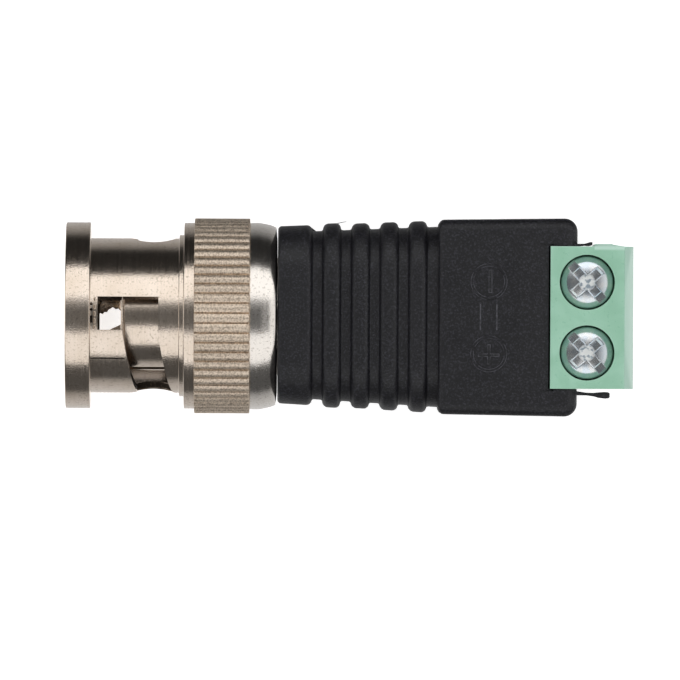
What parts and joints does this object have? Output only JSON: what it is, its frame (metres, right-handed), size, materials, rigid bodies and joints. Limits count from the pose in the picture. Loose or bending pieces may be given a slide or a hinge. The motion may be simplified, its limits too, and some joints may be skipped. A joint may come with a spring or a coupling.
{
  "type": "coax screw terminal adapter",
  "caption": "Bayonet coax plug with a ribbed moulded boot and a square box holding a two-pole screw terminal block for bare wires.",
  "frame": {"origin": "on the plug's axis, at the tip of the slotted contact sleeve, which is the plane where a mated jack's outer conductor stops", "axes": "+X along the plug from the bayonet mouth to the wire entries, +Z out of the clamp screws' heads, +Y to the ground pole's side"},
  "size_m": [0.0409, 0.0142, 0.0143],
  "materials": {
    "nickel": "nickel plated, satin from turning",
    "pin_brass": "gold flashed, bright",
    "insulator_white": "matte",
    "gasket_rubber": "matte",
    "spring_steel": "bright",
    "housing_black": "fine matte grain",
    "block_green": "satin",
    "tinned_brass": "tinned",
    "zinc": "bright blue zinc",
    "wire_red": "satin",
    "wire_black": "satin",
    "solder": "satin"
  },
  "bodies": {
    "root": {"plug_body": "nickel", "centre_pin": "pin_brass", "insulator": "insulator_white", "gasket": "gasket_rubber", "spring_washer": "spring_steel", "housing": "housing_black", "terminal_block": "block_green", "contact_bar_signal": "tinned_brass", "contact_bar_ground": "tinned_brass", "conductor_signal": "tinned_brass", "conductor_ground": "tinned_brass", "insulation_signal": "wire_red", "insulation_ground": "wire_black", "solder_joints": "solder"},
    "retaining_washer": {"retaining_washer": "nickel"},
    "coupling_nut": {"coupling_nut": "nickel"},
    "clamp_screw_signal": {"clamp_screw_signal": "zinc"},
    "clamp_screw_ground": {"clamp_screw_ground": "zinc"},
    "clamp_cage_signal": {"clamp_cage_signal": "nickel"},
    "clamp_cage_ground": {"clamp_cage_ground": "nickel"}
  },
  "joints": [
    {"name": "nut_float", "type": "slide", "parent": "root", "child": "retaining_washer", "axis": [-1, 0, 0], "range_m": [0, 0.0008], "stiffness_N_per_m": 1500, "deforming": ["spring_washer"]},
    {"name": "nut_turn", "type": "hinge", "parent": "retaining_washer", "child": "coupling_nut", "pos_m": [0, 0, 0], "axis": [1, 0, 0], "continuous": true},
    {"name": "screw_signal_turn", "type": "hinge", "parent": "root", "child": "clamp_screw_signal", "pos_m": [0.03359, -0.00254, 0], "axis": [0, 0, -1], "range_deg": [0, 2001]},
    {"name": "screw_ground_turn", "type": "hinge", "parent": "root", "child": "clamp_screw_ground", "pos_m": [0.03359, 0.00254, 0], "axis": [0, 0, -1], "range_deg": [0, 2001]},
    {"name": "cage_signal_lift", "type": "slide", "parent": "root", "child": "clamp_cage_signal", "axis": [0, 0, 1], "range_m": [0, 0.0025]},
    {"name": "cage_ground_lift", "type": "slide", "parent": "root", "child": "clamp_cage_ground", "axis": [0, 0, 1], "range_m": [0, 0.0025]}
  ],
  "couplings": [
    {"joint": "screw_signal_turn", "follows": "cage_signal_lift", "rad_per_m": 13963},
    {"joint": "screw_ground_turn", "follows": "cage_ground_lift", "rad_per_m": 13963}
  ]
}
